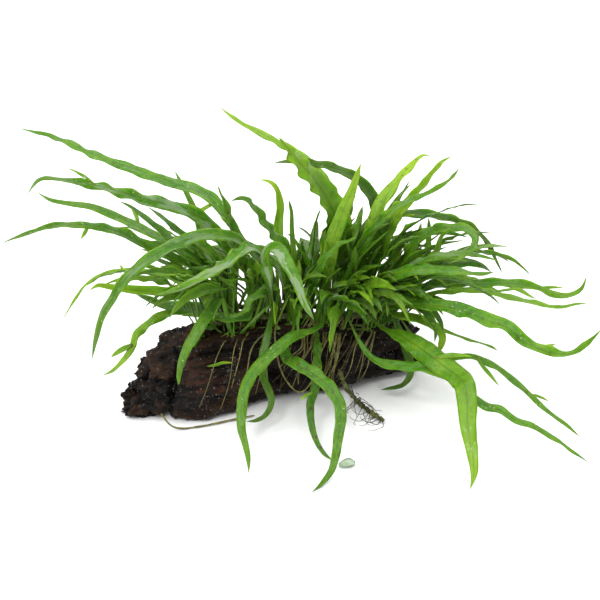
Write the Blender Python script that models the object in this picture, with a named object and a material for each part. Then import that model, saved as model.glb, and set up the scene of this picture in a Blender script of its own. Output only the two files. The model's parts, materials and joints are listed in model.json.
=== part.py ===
"""Java fern grown on a piece of driftwood, standing on a table.

The driftwood is one log. Two rhizomes creep over its top and a short rhizome tip reaches out at
the front. Every frond is one leaf with its stalk, rooted on a rhizome. Lengths are in millimetres
and are turned to metres by MM. X runs along the log to the right, Y goes away from the front, and
Z is up from the table. The pieces are laid out about the middle of the clump, and at the end all
of them are moved so that the origin is on the table under the point where the log balances.
"""

import math

import bmesh
import bpy
from mathutils import Matrix, Vector, noise
from mathutils.bvhtree import BVHTree

MM = 0.001

# Where the log balances, on the table: it becomes the origin
BALANCE = Vector((-27, 12, 0))

# Driftwood
LOG_RING_POINTS = 22
LOG_RING_STEP = 9
LOG_SQUARENESS = 2.6
LOG_ROUGHNESS = 2.6
LOG_GROOVES = 9
LOG_GROOVE_DEPTH = 1.6
LOG_SINK = 5
LOG_END_JAG = 7

# Stems
RHIZOME_RADIUS = 2.2
STEM_SWELL = 0.18
STEM_STEPS = 22

# Fronds
FROND_RINGS = 16
STALK_WIDTH = 1.5
STALK_THICKNESS = 1.2
BLADE_THICKNESS = 0.9
STALK_SHARE = 0.1
SHOULDER_SHARE = 0.4
MIDRIB_SHARE = 0.65
STALK_RISE = 7

# Room between neighbours
GAP = 0.35
TABLE_GAP = 0.3
FEEL = 0.25
COMB_STEP = 1.5
COMB_STEPS = 16
ROOT_NUDGES = (0, 1.5, -1.5, 3, -3, 4.5, -4.5, 6, -6)

# The routes of the fronds are drawn on a board that leans back, as an eye in front of it sees them
BOARD_LEAN = math.radians(25)
EYE_DISTANCE = 1000
EYE_HEIGHT_ON_BOARD = 70
EYE = Vector(
    (
        0,
        EYE_HEIGHT_ON_BOARD * math.sin(BOARD_LEAN) - EYE_DISTANCE * math.cos(BOARD_LEAN),
        EYE_HEIGHT_ON_BOARD * math.cos(BOARD_LEAN) + EYE_DISTANCE * math.sin(BOARD_LEAN),
    )
)

# The log's outline: x, front y, back y, top z, and how far its front edge is off the table
LOG_STATIONS = (
    (-121, -25, -6, 20, 0),
    (-116, -30, 8, 25, 0),
    (-107, -32, 18, 33, 0),
    (-101, -33, 23, 46, 0),
    (-86, -38, 27, 54, 0),
    (-70, -40, 30, 60, 0),
    (-52, -33, 34, 62, 0),
    (-36, -22, 38, 60, 1),
    (-18, -8, 42, 57, 4),
    (4, -1, 46, 55, 6),
    (26, 3, 50, 53, 6),
    (48, 12, 56, 50, 8),
    (66, 22, 62, 46, 10),
    (78, 30, 63, 39, 10),
    (86, 38, 60, 31, 9),
)

# Where each rhizome creeps over the log, as (x, y)
RHIZOMES = {
    "rhizome_front": ((-58, -8), (-36, 2), (-12, 10), (14, 16), (40, 24), (66, 36)),
    "rhizome_back": ((-50, 16), (-26, 24), (0, 32), (28, 38), (56, 50)),
}

# Thin stems that hang or lie free: the radius, then the route as (x, y, z)
LOOSE_STEMS = {
    "rhizome_tip": (1.8, ((27, -5, 27), (31, -9, 17), (38, -15, 9), (47, -24, 5), (57, -35, 3))),
    "root_loop": (0.6, ((-16, -1, 62), (-17, -14, 57), (-15, -19, 42), (-11, -21, 30),
        (-4, -22, 20), (2, -21, 18), (8, -17, 24), (10, -12, 29))),
    "fallen_stalk": (0.7, ((-93, -42, 13), (-87, -44, 5), (-79, -42, 1.4), (-62, -37, 1.4),
        (-46, -30, 1.4), (-31, -24, 1.4))),
}

# The rows that fronds grow in: the rhizome, and which way the stalk leaves it
ROWS = {
    "front": ("rhizome_front", Vector((0, -0.5, 0.87))),
    "top": ("rhizome_front", Vector((0, 0, 1))),
    "back": ("rhizome_front", Vector((0, 0.5, 0.87))),
    "middle": ("rhizome_back", Vector((0, -0.4, 0.92))),
    "crest": ("rhizome_back", Vector((0, 0, 1))),
    "behind": ("rhizome_back", Vector((0, 0.5, 0.87))),
}

# Each frond: the x of its root and its row, the width of its blade, and its route after the root
# as (across, up) on the board with the depth y that it stands at
FRONDS = {
    # to the left
    "frond_left_high": (-14, "back", 9, ((-43, 117, 20), (-63, 141, 28), (-96, 155, 40),
        (-135, 168, 54), (-170, 183, 68), (-197, 190, 78))),
    "frond_left_broad": (-22, "top", 10, ((-45, 98, 8), (-69, 127, 0), (-113, 142, -14),
        (-150, 151, -28), (-176, 155, -40), (-188, 150, -48), (-192, 142, -52))),
    "frond_left_slim": (-30, "back", 7, ((-63, 97, 28), (-92, 111, 40), (-140, 133, 58),
        (-174, 140, 72), (-185, 146, 78))),
    "frond_left_far": (-36, "top", 8, ((-60, 86, 6), (-103, 106, -8), (-135, 120, -24),
        (-166, 122, -40), (-190, 117, -56), (-210, 109, -68))),
    "frond_left_arch": (-12, "front", 9, ((-22, 96, 0), (-36, 108, -12), (-56, 115, -22),
        (-76, 113, -32), (-96, 104, -42), (-113, 93, -48), (-126, 80, -54), (-136, 62, -60),
        (-141, 52, -62), (-146, 27, -70))),
    "frond_left_pale": (-8, "front", 9, ((-16, 94, -6), (-34, 107, -22), (-47, 99, -34),
        (-59, 91, -44), (-82, 80, -58), (-102, 73, -68))),
    "frond_left_thin": (-42, "back", 5, ((-60, 72, 30), (-91, 86, 42), (-125, 90, 52),
        (-140, 87, 56), (-150, 80, 58), (-158, 70, 58), (-167, 55, 56))),
    "frond_left_level": (-46, "front", 8, ((-61, 74, 0), (-71, 76, -4), (-104, 76, -12),
        (-125, 78, -20), (-142, 80, -26), (-148, 76, -28))),
    "frond_left_twisted": (-50, "back", 7, ((-70, 66, 20), (-89, 62, 18), (-99, 58, 14),
        (-108, 52, 10), (-115, 46, 8), (-117, 39, 6), (-120, 33, 4), (-130, 21, 0),
        (-139, 17, -4))),
    "frond_left_dark": (-54, "top", 10, ((-67, 64, 14), (-88, 65, 18), (-104, 69, 20),
        (-115, 74, 22))),
    "frond_left_upright": (-40, "crest", 6, ((-52, 84, 40), (-66, 104, 50), (-73, 130, 62),
        (-88, 161, 76))),
    "frond_left_spotted": (-20, "middle", 10, ((-38, 92, 22), (-42, 105, 18), (-50, 128, 10),
        (-58, 151, 2))),
    "frond_left_over_wood": (-50, "front", 8, ((-54, 72, -14), (-60, 66, -24), (-67, 56, -37),
        (-73, 47, -44), (-79, 37, -49), (-83, 27, -51), (-85, 17, -52), (-85, 10, -52))),
    "frond_left_on_wood": (-30, "front", 7, ((-38, 58, -18), (-48, 57, -20), (-60, 59, -14),
        (-72, 60, -8), (-83, 59, -4))),
    "frond_left_curl": (-22, "front", 7, ((-24, 74, -10), (-32, 73, -16), (-36, 70, -19),
        (-38, 63, -22), (-47, 58, -26))),
    # in the middle and on top
    "frond_middle_left": (-6, "top", 9, ((-11, 106, 2), (-17, 114, -4), (-24, 125, -12),
        (-31, 134, -18), (-40, 141, -26), (-49, 139, -32))),
    "frond_middle_sheen": (-18, "front", 10, ((-24, 96, -6), (-17, 106, -14), (-7, 93, -26),
        (-1, 80, -32), (3, 68, -36), (10, 56, -40))),
    "frond_top_long": (18, "crest", 7, ((26, 118, 46), (24, 138, 52), (14, 158, 60),
        (0, 171, 68), (-13, 179, 76), (-41, 194, 88), (-57, 206, 96))),
    "frond_top_broad": (14, "middle", 20, ((24, 116, 24), (24, 129, 22), (20, 139, 18),
        (14, 149, 14), (7, 158, 8), (-4, 170, 2), (-15, 184, -4))),
    "frond_top_bright": (14, "top", 10, ((18, 80, 8), (20, 92, 4), (23, 111, -4), (28, 126, -10),
        (33, 139, -16), (38, 153, -22), (43, 166, -28))),
    "frond_top_dark": (48, "crest", 9, ((54, 110, 50), (54, 134, 54), (46, 148, 54),
        (34, 158, 50), (18, 164, 44), (-1, 167, 38), (-19, 166, 34))),
    "frond_slim_upright": (-2, "back", 4, ((-4, 96, 22), (-6, 118, 26), (-6, 131, 28),
        (-8, 141, 30))),
    "frond_young_upright": (-12, "crest", 7, ((-14, 100, 36), (-15, 122, 46), (-14, 134, 50),
        (-16, 147, 54), (-21, 153, 56), (-30, 154, 57))),
    "frond_middle_dark": (34, "back", 16, ((44, 86, 22), (52, 104, 20), (58, 118, 14),
        (64, 128, 8))),
    "frond_middle_tall": (24, "back", 9, ((26, 84, 22), (30, 100, 26), (40, 122, 32),
        (44, 136, 36))),
    "frond_middle_front": (4, "front", 7, ((8, 78, 2), (14, 94, -6), (24, 106, -14),
        (40, 114, -26))),
    "frond_middle_low": (24, "front", 7, ((34, 70, 8), (50, 76, -2), (66, 74, -12),
        (80, 66, -22))),
    "frond_middle_back": (6, "back", 8, ((-4, 84, 24), (-16, 96, 34), (-34, 104, 46),
        (-52, 108, 58))),
    # to the right
    "frond_right_speckled": (40, "middle", 11, ((50, 118, 28), (58, 140, 34), (66, 150, 38),
        (76, 162, 42), (88, 172, 46), (93, 170, 48))),
    "frond_right_yellow": (46, "top", 8, ((62, 118, 16), (76, 139, 8), (83, 147, 2),
        (90, 155, -4), (98, 165, -10), (107, 171, -14))),
    "frond_right_high": (30, "top", 7, ((46, 112, 8), (66, 134, -6), (81, 141, -16),
        (95, 148, -26), (105, 155, -32), (112, 163, -38))),
    "frond_right_dark_arch": (26, "middle", 8, ((38, 108, 32), (56, 128, 38), (76, 131, 42),
        (95, 128, 46), (111, 124, 48), (123, 118, 48), (132, 109, 48), (137, 99, 46),
        (142, 88, 44))),
    "frond_right_fold": (52, "back", 8, ((72, 98, 22), (86, 114, 14), (98, 120, 8),
        (111, 121, 2), (121, 118, -4), (122, 108, -8), (115, 101, -12), (103, 95, -16))),
    "frond_right_upright": (62, "back", 6, ((78, 86, 42), (88, 101, 50), (90, 115, 58),
        (90, 128, 64))),
    "frond_right_behind": (54, "crest", 6, ((68, 82, 58), (78, 96, 66), (82, 110, 72),
        (85, 125, 78))),
    "frond_right_small_arch": (58, "front", 6, ((78, 80, 18), (93, 96, 12), (99, 113, 6),
        (107, 120, 0))),
    "frond_right_level": (38, "front", 10, ((52, 80, 6), (69, 89, -4), (85, 92, -14),
        (105, 91, -24), (120, 89, -32), (132, 88, -38), (137, 90, -40))),
    "frond_right_long": (44, "middle", 8, ((60, 70, 32), (76, 75, 34), (95, 80, 36),
        (115, 82, 36), (134, 81, 34), (154, 81, 32), (169, 77, 30), (183, 73, 28),
        (195, 76, 28), (201, 88, 28))),
    "frond_right_long_thin": (60, "top", 5, ((78, 70, 24), (99, 76, 18), (130, 76, 8),
        (144, 72, 2), (159, 69, -4), (179, 65, -12), (193, 67, -16), (203, 68, -20))),
    "frond_right_wavy": (48, "front", 10, ((62, 64, 2), (78, 66, -6), (99, 65, -18),
        (116, 62, -28), (131, 56, -38), (147, 50, -48), (158, 40, -54), (169, 35, -58),
        (183, 32, -60), (193, 34, -62), (200, 39, -64), (213, 52, -66))),
    "frond_right_low_thin": (64, "front", 5, ((84, 38, 14), (98, 29, 6), (116, 31, -4),
        (126, 29, -10), (137, 23, -18), (147, 15, -26), (161, 3, -36), (174, -9, -44),
        (185, -17, -50), (197, -27, -60))),
    "frond_right_to_table": (30, "front", 8, ((38, 48, -8), (46, 34, -16), (56, 26, -24),
        (68, 24, -30), (82, 23, -36), (99, 19, -44), (120, 1, -54), (137, -6, -62),
        (153, -15, -70), (169, -22, -76), (185, -32, -84), (204, -45, -92))),
    "frond_right_drooping": (42, "front", 16, ((56, 52, 6), (66, 47, -6), (83, 37, -24),
        (99, 25, -42), (110, 17, -55), (116, 8, -68), (118, -18, -86), (121, -37, -98),
        (122, -50, -106), (119, -63, -116))),
    "frond_right_loop": (56, "front", 7, ((66, 60, 22), (78, 58, 16), (90, 54, 10),
        (98, 48, 6), (100, 42, 4), (98, 35, 4), (92, 29, 6))),
    "frond_right_thread": (66, "front", 3, ((84, 54, 30), (101, 49, 32), (116, 43, 34),
        (131, 38, 36), (139, 34, 38))),
    "frond_right_foot": (62, "front", 6, ((74, 36, 16), (78, 20, 8), (72, 10, 4),
        (56, 7, 2))),
    # hanging to the table in front
    "frond_front_left": (16, "front", 9, ((14, 52, -14), (4, 48, -26), (-8, 42, -36),
        (-19, 33, -44), (-30, 23, -53), (-38, 10, -64), (-41, -6, -76), (-41, -20, -85),
        (-38, -31, -92), (-36, -45, -100), (-36, -52, -106))),
    "frond_front_right": (0, "front", 9, ((-6, 46, -14), (-11, 36, -26), (-9, 29, -36),
        (-2, 25, -43), (7, 20, -50), (16, 13, -58), (25, 3, -68), (29, -8, -77), (27, -20, -86),
        (26, -31, -93), (24, -41, -99), (22, -49, -104), (17, -57, -110), (8, -65, -118))),
    "frond_front_spotted": (8, "front", 6, ((12, 40, -14), (12, 22, -30), (11, 8, -42),
        (8, 1, -48), (7, -8, -56), (8, -20, -66), (11, -29, -74), (16, -37, -82),
        (24, -43, -90))),
    "frond_front_dark": (-18, "front", 6, ((-22, 48, -20), (-26, 32, -30), (-26, 17, -36),
        (-20, -1, -42), (-27, -13, -48), (-38, -15, -52))),
    # to the back
    "frond_back_left": (-30, "behind", 9, ((-44, 96, 60), (-62, 104, 95), (-80, 92, 125),
        (-90, 78, 140))),
    "frond_back_middle": (0, "behind", 10, ((2, 100, 66), (4, 112, 100), (6, 104, 135),
        (6, 92, 155))),
    "frond_back_right": (34, "behind", 9, ((44, 96, 74), (58, 104, 105), (74, 98, 135),
        (84, 84, 155))),
    "frond_back_far_right": (54, "behind", 8, ((72, 92, 72), (96, 92, 92), (120, 84, 108),
        (140, 76, 118))),
}


def clear_scene():
    for obj in list(bpy.data.objects):
        bpy.data.objects.remove(obj, do_unlink=True)


def finish(name, colour, roughness):
    """A plain Principled material."""
    material = bpy.data.materials.new(name)
    material.use_nodes = True
    shader = material.node_tree.nodes["Principled BSDF"]
    shader.inputs["Base Color"].default_value = (*colour, 1)
    shader.inputs["Roughness"].default_value = roughness
    shader.inputs["Metallic"].default_value = 0
    return material


def add_piece(name, mesh, collection, material):
    piece = bpy.data.objects.new(name, mesh)
    mesh.materials.clear()
    mesh.materials.append(material)
    collection.objects.link(piece)
    return piece


def smoothstep(low, high, value):
    share = min(max((value - low) / (high - low), 0), 1)
    return share * share * (3 - 2 * share)


def close_skin(shape, mesh):
    """Makes the shape's faces triangles that point out, and puts them in the mesh."""
    bmesh.ops.triangulate(shape, faces=shape.faces[:])
    bmesh.ops.recalc_face_normals(shape, faces=shape.faces[:])
    shape.to_mesh(mesh)
    shape.free()
    return mesh


def loft(name, rings, tip=None):
    """A closed body through unlike sections, which ends in a flat cap or in a tip."""
    shape = bmesh.new()
    made = [[shape.verts.new(place * MM) for place in ring] for ring in rings]
    for ring, after in zip(made, made[1:]):
        for i in range(len(ring)):
            j = (i + 1) % len(ring)
            shape.faces.new((ring[i], ring[j], after[j], after[i]))
    shape.faces.new(made[0][::-1])
    if tip is None:
        shape.faces.new(made[-1])
    else:
        point = shape.verts.new(tip * MM)
        for i in range(len(made[-1])):
            shape.faces.new((made[-1][i], made[-1][(i + 1) % len(made[-1])], point))
    return close_skin(shape, bpy.data.meshes.new(name))


def search_tree(mesh):
    corners = [vertex.co.copy() for vertex in mesh.vertices]
    return BVHTree.FromPolygons(corners, [tuple(face.vertices) for face in mesh.polygons])


def curve_between(before, start, stop, after, t):
    """The Catmull-Rom curve from start to stop."""
    return 0.5 * (
        2 * start
        + (stop - before) * t
        + (2 * before - 5 * start + 4 * stop - after) * t * t
        + (3 * start - before - 3 * stop + after) * t**3
    )


def smooth_route(points, count):
    """Places at equal steps along a smooth curve through the points."""
    fine_steps = 16
    ends = [points[0] * 2 - points[1], *points, points[-1] * 2 - points[-2]]
    fine = []
    for span in zip(ends, ends[1:], ends[2:], ends[3:]):
        fine += [curve_between(*span, step / fine_steps) for step in range(fine_steps)]
    fine.append(points[-1].copy())
    reached = [0]
    for a, b in zip(fine, fine[1:]):
        reached.append(reached[-1] + (b - a).length)
    places, index = [], 0
    for step in range(count):
        wanted = reached[-1] * step / (count - 1)
        while index < len(fine) - 2 and reached[index + 1] < wanted:
            index += 1
        share = (wanted - reached[index]) / (reached[index + 1] - reached[index])
        places.append(fine[index].lerp(fine[index + 1], min(share, 1)))
    return places


# ---- driftwood -----------------------------------------------------------------------------------


def log_station(x):
    """Front, back, top and lift at x, read between the stations."""
    for low, high in zip(LOG_STATIONS, LOG_STATIONS[1:]):
        if x <= high[0]:
            share = (x - low[0]) / (high[0] - low[0])
            return [a + (b - a) * share for a, b in zip(low[1:], high[1:])]
    return LOG_STATIONS[-1][1:]


def log_ring(x, jag):
    """One section: a squared-off round with grooves, cut flat where it meets the table."""
    front, back, top, lift = log_station(x)
    middle = Vector((x, (front + back) / 2, (top - LOG_SINK) / 2))
    wide, high = (back - front) / 2, (top + LOG_SINK) / 2
    power = 2 / LOG_SQUARENESS
    ring = []
    for i in range(LOG_RING_POINTS):
        angle = 2 * math.pi * i / LOG_RING_POINTS
        c, s = math.cos(angle), math.sin(angle)
        rough = noise.noise(Vector((x * 0.045, 2.2 * c, 2.2 * s)))
        rough += 0.7 * noise.noise(Vector((x * 0.13, 5 * c, 5 * s + 9)))
        groove = max(math.sin(LOG_GROOVES * angle + 1.5 * math.sin(x * 0.03)), 0)
        out = 1 + (rough * LOG_ROUGHNESS - groove * LOG_GROOVE_DEPTH) / max(wide, high)
        y = math.copysign(abs(c) ** power, c) * wide * out
        z = math.copysign(abs(s) ** power, s) * high * out
        place = middle + Vector((jag * noise.noise(Vector((7, 3.1 * c, 3.1 * s))), y, z))
        towards_front = max((back - place.y) / (back - front), 0)
        low_down = max(1 - place.z / (0.7 * top), 0)
        place.z = max(place.z + lift * towards_front * low_down, 0)
        ring.append(place)
    return ring


def build_log(collection):
    first, last = LOG_STATIONS[0][0], LOG_STATIONS[-1][0]
    count = round((last - first) / LOG_RING_STEP)
    rings = []
    for i in range(count + 1):
        near_end = max(1 - min(i, count - i) / 2, 0)
        rings.append(log_ring(first + (last - first) * i / count, LOG_END_JAG * near_end))
    wood = finish("wet driftwood", (0.035, 0.016, 0.009), 0.4)
    return add_piece("driftwood_log", loft("driftwood_log", rings), collection, wood)


# ---- rhizomes and loose stems --------------------------------------------------------------------


def rhizome_route(footprint, log_tree):
    """The centre line of a rhizome that lies on the highest wood near each of its points."""
    flat = smooth_route([Vector((x, y, 0)) for x, y in footprint], STEM_STEPS)
    reach = (-3, 0, 3)
    tops = []
    for place in flat:
        above = [Vector((place.x + dx, place.y + dy, 200)) * MM for dx in reach for dy in reach]
        tops.append(max(log_tree.ray_cast(point, Vector((0, 0, -1)))[0].z for point in above) / MM)
    lie = RHIZOME_RADIUS * (1 + STEM_SWELL) + GAP
    heights = [max(tops[max(i - 1, 0) : i + 2]) + lie for i in range(len(flat))]
    return [Vector((place.x, place.y, z)) for place, z in zip(flat, heights)]


def build_stem(name, route, radius, collection, material):
    """A knobbly round stem: a curve with a bevel and filled caps, made a mesh and welded."""
    curve = bpy.data.curves.new(name, "CURVE")
    curve.dimensions = "3D"
    curve.bevel_depth = radius * MM
    curve.bevel_resolution = 2
    curve.use_fill_caps = True
    line = curve.splines.new("POLY")
    line.points.add(len(route) - 1)
    for i, (point, place) in enumerate(zip(line.points, route)):
        point.co = (*(place * MM), 1)
        point.radius = 1 + STEM_SWELL * math.sin(1.9 * i)
    line.points[0].radius = 0.7
    line.points[-1].radius = 0.7
    guide = bpy.data.objects.new(name + "_guide", curve)
    collection.objects.link(guide)
    graph = bpy.context.evaluated_depsgraph_get()
    mesh = bpy.data.meshes.new_from_object(guide.evaluated_get(graph))
    bpy.data.objects.remove(guide, do_unlink=True)
    shape = bmesh.new()
    shape.from_mesh(mesh)
    bmesh.ops.remove_doubles(shape, verts=shape.verts[:], dist=0.001 * MM)
    return add_piece(name, close_skin(shape, mesh), collection, material)


# ---- fronds --------------------------------------------------------------------------------------


def board_point(across, up, y):
    """The place seen at (across, up) on the board that is at the depth y, or on the table."""
    drawn = Vector((across, up * math.sin(BOARD_LEAN), up * math.cos(BOARD_LEAN)))
    sight = EYE - drawn
    place = drawn + sight * ((y - drawn.y) / sight.y)
    if place.z < TABLE_GAP:
        place = drawn + sight * ((TABLE_GAP - drawn.z) / sight.z)
    return place


def root_place(x, row, stem_routes):
    """Where a stalk starts: just clear of the rhizome's skin."""
    rhizome, leaving = ROWS[row]
    route = stem_routes[rhizome]
    low, high = route[0], route[1]
    for low, high in zip(route, route[1:]):
        if x <= high.x:
            break
    share = min(max((x - low.x) / (high.x - low.x), 0), 1)
    skin = RHIZOME_RADIUS * (1 + STEM_SWELL) + STALK_THICKNESS
    return low.lerp(high, share) + leaving * (skin + GAP)


def blade_width(share, widest):
    """The leaf's width at a share of its length: a short stalk, a long blade, a drawn-out tip."""
    rise = smoothstep(STALK_SHARE, SHOULDER_SHARE, share)
    past = max(share - SHOULDER_SHARE, 0) / (1 - SHOULDER_SHARE)
    return STALK_WIDTH + (widest - STALK_WIDTH) * rise * (1 - past**2.1)


def frond_rings(route, widest, face, twist, extra=0):
    """Four-point sections: left edge, upper face, right edge, and the midrib that stands below."""
    rings = []
    last = len(route) - 1
    for i in range(last):
        share = i / last
        along = (route[i + 1] - route[max(i - 1, 0)]).normalized()
        up = Matrix.Rotation(face, 3, "Z") @ Vector((0, -0.6, 0.8))
        up = (up - along * up.dot(along)).normalized()
        up = Matrix.Rotation(twist * (share - 0.5), 3, along) @ up
        side = along.cross(up)
        flat = smoothstep(STALK_SHARE, SHOULDER_SHARE, share)
        thick = STALK_THICKNESS + (BLADE_THICKNESS - STALK_THICKNESS) * flat
        thick = thick * (1 - 0.35 * smoothstep(0.6, 1, share)) + 2 * extra
        half = blade_width(share, widest) / 2 + extra
        ring = [
            route[i] - side * half,
            route[i] + up * thick * (1 - MIDRIB_SHARE),
            route[i] + side * half,
            route[i] - up * thick * MIDRIB_SHARE,
        ]
        sunk = TABLE_GAP - extra - min(place.z for place in ring)
        rings.append([place + Vector((0, 0, max(sunk, 0))) for place in ring])
    return rings


def combed(route, shift):
    """The route eased towards the eye, or away from it if shift is negative, after its root."""
    moved = []
    for i, place in enumerate(route):
        share = smoothstep(0, 0.35, i / (len(route) - 1))
        eased = place + (EYE - place).normalized() * shift * share
        moved.append(eased if eased.z > TABLE_GAP else place)
    return moved


def clear_route(name, x, row, widest, points, face, twist, stem_routes, trees):
    """The frond's route, combed clear of every piece already there."""
    shifts = [0]
    for step in range(1, COMB_STEPS + 1):
        shifts += [step * COMB_STEP, -step * COMB_STEP]
    for nudge in ROOT_NUDGES:
        root = root_place(x + nudge, row, stem_routes)
        start = [root, root + ROWS[row][1] * STALK_RISE]
        route = smooth_route(start + [board_point(*p) for p in points], FROND_RINGS + 1)
        for shift in shifts:
            eased = combed(route, shift)
            rings = frond_rings(eased, widest, face, twist, extra=FEEL)
            felt = search_tree(loft("felt", rings, tip=eased[-1]))
            if not any(felt.overlap(tree) for tree in trees.values()):
                return eased
    raise RuntimeError(name + " finds no room")


def build_fronds(collection, stem_routes, trees):
    leaf = finish("fern leaf", (0.09, 0.3, 0.03), 0.35)
    for index, (name, (x, row, widest, points)) in enumerate(FRONDS.items()):
        face = math.radians(18) * math.cos(1.7 * index)
        twist = math.radians(40) * math.sin(2.4 * index)
        route = clear_route(name, x, row, widest, points, face, twist, stem_routes, trees)
        mesh = loft(name, frond_rings(route, widest, face, twist), tip=route[-1])
        add_piece(name, mesh, collection, leaf)
        trees[name] = search_tree(mesh)


def build_all():
    clear_scene()
    collection = bpy.data.collections.new("Java fern on driftwood")
    bpy.context.scene.collection.children.link(collection)
    bark = finish("rhizome skin", (0.12, 0.13, 0.03), 0.5)
    log = build_log(collection)
    trees = {log.name: search_tree(log.data)}
    stem_routes = {}
    for name, footprint in RHIZOMES.items():
        stem_routes[name] = rhizome_route(footprint, trees[log.name])
        stem = build_stem(name, stem_routes[name], RHIZOME_RADIUS, collection, bark)
        trees[name] = search_tree(stem.data)
    for name, (radius, points) in LOOSE_STEMS.items():
        route = smooth_route([Vector(point) for point in points], 3 * len(points))
        stem = build_stem(name, route, radius, collection, bark)
        trees[name] = search_tree(stem.data)
    build_fronds(collection, stem_routes, trees)
    for piece in collection.objects:
        piece.data.transform(Matrix.Translation(-BALANCE * MM))
    for mesh in [mesh for mesh in bpy.data.meshes if not mesh.users]:
        bpy.data.meshes.remove(mesh)


build_all()
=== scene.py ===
import json
import math
import random
from itertools import permutations

import bmesh
import bpy
from mathutils import Matrix, Vector
from mathutils.bvhtree import BVHTree


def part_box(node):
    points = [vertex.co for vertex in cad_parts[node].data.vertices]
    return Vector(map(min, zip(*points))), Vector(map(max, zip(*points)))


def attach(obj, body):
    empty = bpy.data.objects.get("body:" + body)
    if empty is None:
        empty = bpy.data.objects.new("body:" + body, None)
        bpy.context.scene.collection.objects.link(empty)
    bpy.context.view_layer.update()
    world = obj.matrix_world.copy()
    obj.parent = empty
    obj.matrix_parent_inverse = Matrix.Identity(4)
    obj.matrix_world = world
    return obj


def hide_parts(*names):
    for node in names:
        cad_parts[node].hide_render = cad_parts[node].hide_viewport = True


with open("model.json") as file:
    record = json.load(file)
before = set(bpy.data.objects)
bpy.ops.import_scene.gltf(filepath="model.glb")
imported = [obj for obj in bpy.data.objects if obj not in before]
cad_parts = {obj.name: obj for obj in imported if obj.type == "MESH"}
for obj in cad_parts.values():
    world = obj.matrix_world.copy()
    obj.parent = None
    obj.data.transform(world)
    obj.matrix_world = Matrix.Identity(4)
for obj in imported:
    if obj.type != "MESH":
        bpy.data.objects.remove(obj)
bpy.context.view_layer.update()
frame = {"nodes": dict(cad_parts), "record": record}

# ---- Driftwood -----------------------------------------------------------------------------------
# One log of dark bogwood, soaked black-brown, with long grain, open cracks and a crumbling end.
# Shade in its hollows and under the leaves, and wet glints, are painted into its colour.
# It is a weathered natural piece. Its skin starts from the solid, cut into small even faces, and
# is worn along the grain, which runs along the log from front left to back right.

MM = 0.001
GRAIN_TURN = math.radians(17)
SKIN_STEP = 1.15 * MM
PALE_SPOT = Vector((-21, 0, 37)) * MM      # a small pale spot on the log's front


def plug(tree, socket, value):
    """Joins a value in the tree to the socket, or sets the socket to a plain value."""
    if isinstance(value, Flow):
        value = value.socket
    if isinstance(value, bpy.types.NodeSocket):
        tree.links.new(value, socket)
    else:
        socket.default_value = value


def grow(tree, kind, inputs=(), **settings):
    """A new node. Its inputs are given in order, or by their name or place."""
    made = tree.nodes.new(kind)
    for key, value in settings.items():
        setattr(made, key, value)
    given = inputs if isinstance(inputs, dict) else dict(enumerate(inputs))
    for key, value in given.items():
        plug(tree, made.inputs[key], value)
    return made


class Flow:
    """A value that runs through a node tree: sums and products with it add nodes."""

    def __init__(self, tree, socket):
        self.tree = tree
        self.socket = socket

    def maths(self, operation, *others):
        made = grow(self.tree, "ShaderNodeMath", (self, *others), operation=operation)
        return Flow(self.tree, made.outputs[0])

    def __add__(self, other):
        return self.maths("ADD", other)

    def __sub__(self, other):
        return self.maths("SUBTRACT", other)

    def __mul__(self, other):
        return self.maths("MULTIPLY", other)

    def __truediv__(self, other):
        return self.maths("DIVIDE", other)

    def ramp(self, low, high, start=0.0, stop=1.0):
        """Eases from start, where the value is low, to stop, where it is high."""
        made = grow(self.tree, "ShaderNodeMapRange", (self, low, high, start, stop),
            interpolation_type="SMOOTHSTEP")
        return Flow(self.tree, made.outputs[0])

    def scaled(self, factor):
        made = grow(self.tree, "ShaderNodeVectorMath", {0: self, 3: factor}, operation="SCALE")
        return Flow(self.tree, made.outputs[0])

    def vector(self, operation, other):
        made = grow(self.tree, "ShaderNodeVectorMath", {0: self, 1: other}, operation=operation)
        return Flow(self.tree, made.outputs[0])

    def parts(self):
        made = grow(self.tree, "ShaderNodeSeparateXYZ", (self,))
        return [Flow(self.tree, socket) for socket in made.outputs]

    def noise(self, scale, detail=2.0, roughness=0.5):
        """Soft noise about 0.5 at this place."""
        inputs = {"Vector": self, "Scale": scale, "Detail": detail, "Roughness": roughness}
        return Flow(self.tree, grow(self.tree, "ShaderNodeTexNoise", inputs).outputs[0])

    def cells(self, scale, feature="F1"):
        """The Voronoi node at this place."""
        inputs = {"Vector": self, "Scale": scale}
        return grow(self.tree, "ShaderNodeTexVoronoi", inputs, feature=feature)


def joined(tree, x, y, z):
    return Flow(tree, grow(tree, "ShaderNodeCombineXYZ", (x, y, z)).outputs[0])


def blend(share, first, second, how="MIX"):
    """From the first colour to the second by the share."""
    made = grow(share.tree, "ShaderNodeMix", {0: share, 6: first, 7: second},
        data_type="RGBA", blend_type=how)
    return Flow(share.tree, made.outputs[2])


def along_grain(place, length, width):
    """The place in the log's own directions, drawn out along its grain."""
    turned = grow(place.tree, "ShaderNodeVectorRotate", {"Vector": place, "Angle": -GRAIN_TURN},
        rotation_type="Z_AXIS")
    stretch = Vector((1 / length, 1 / width, 1 / width))
    return Flow(place.tree, turned.outputs[0]).vector("MULTIPLY", stretch)


def in_scene(name, data):
    """A new object in the scene."""
    made = bpy.data.objects.new(name, data)
    bpy.context.scene.collection.objects.link(made)
    return made


def geometry_tree(name, sizes):
    """A tree that a modifier can use, with a named input for each size, and those inputs."""
    tree = bpy.data.node_groups.new(name, "GeometryNodeTree")
    tree.interface.new_socket("Geometry", in_out="INPUT", socket_type="NodeSocketGeometry")
    for size, kind in sizes.items():
        tree.interface.new_socket(size, in_out="INPUT", socket_type="NodeSocket" + kind)
    tree.interface.new_socket("Geometry", in_out="OUTPUT", socket_type="NodeSocketGeometry")
    entry = tree.nodes.new("NodeGroupInput")
    return tree, {socket.name: Flow(tree, socket) for socket in entry.outputs if socket.name}


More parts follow.
